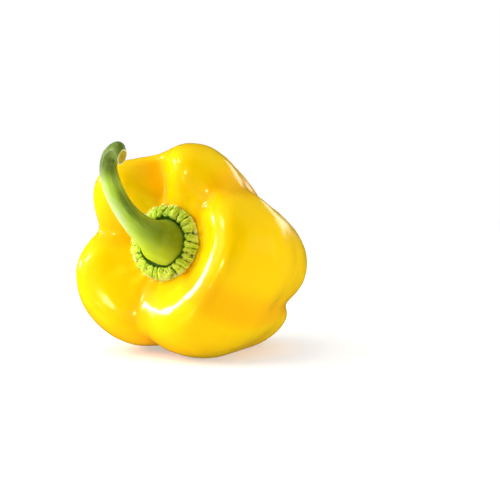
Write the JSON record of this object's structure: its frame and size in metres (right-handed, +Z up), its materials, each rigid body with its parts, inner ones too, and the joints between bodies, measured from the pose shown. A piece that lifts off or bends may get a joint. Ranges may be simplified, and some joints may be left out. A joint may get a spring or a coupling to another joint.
{
  "type": "bell pepper",
  "caption": "Blocky yellow bell pepper lying on its side, with deep furrows between its lobes, a crinkled green calyx and a thick curved stem with a hooked cut end.",
  "frame": {"origin": "centre of the bounding box's underside, on the ground the pepper lies on", "axes": "+Z up; the stem end faces -Y and points 11.5 degrees up, the blossom end faces +Y; +X is to the right as the stem end is seen"},
  "size_m": [0.0956, 0.1062, 0.0913],
  "materials": {
    "skin": "waxy glossy pepper skin",
    "calyx": "crinkled leafy green with a soft sheen",
    "stem": "smooth ridged green stem with a soft sheen"
  },
  "bodies": {
    "root": {"fruit": "skin", "calyx": "calyx", "stem": "stem"}
  },
  "joints": []
}
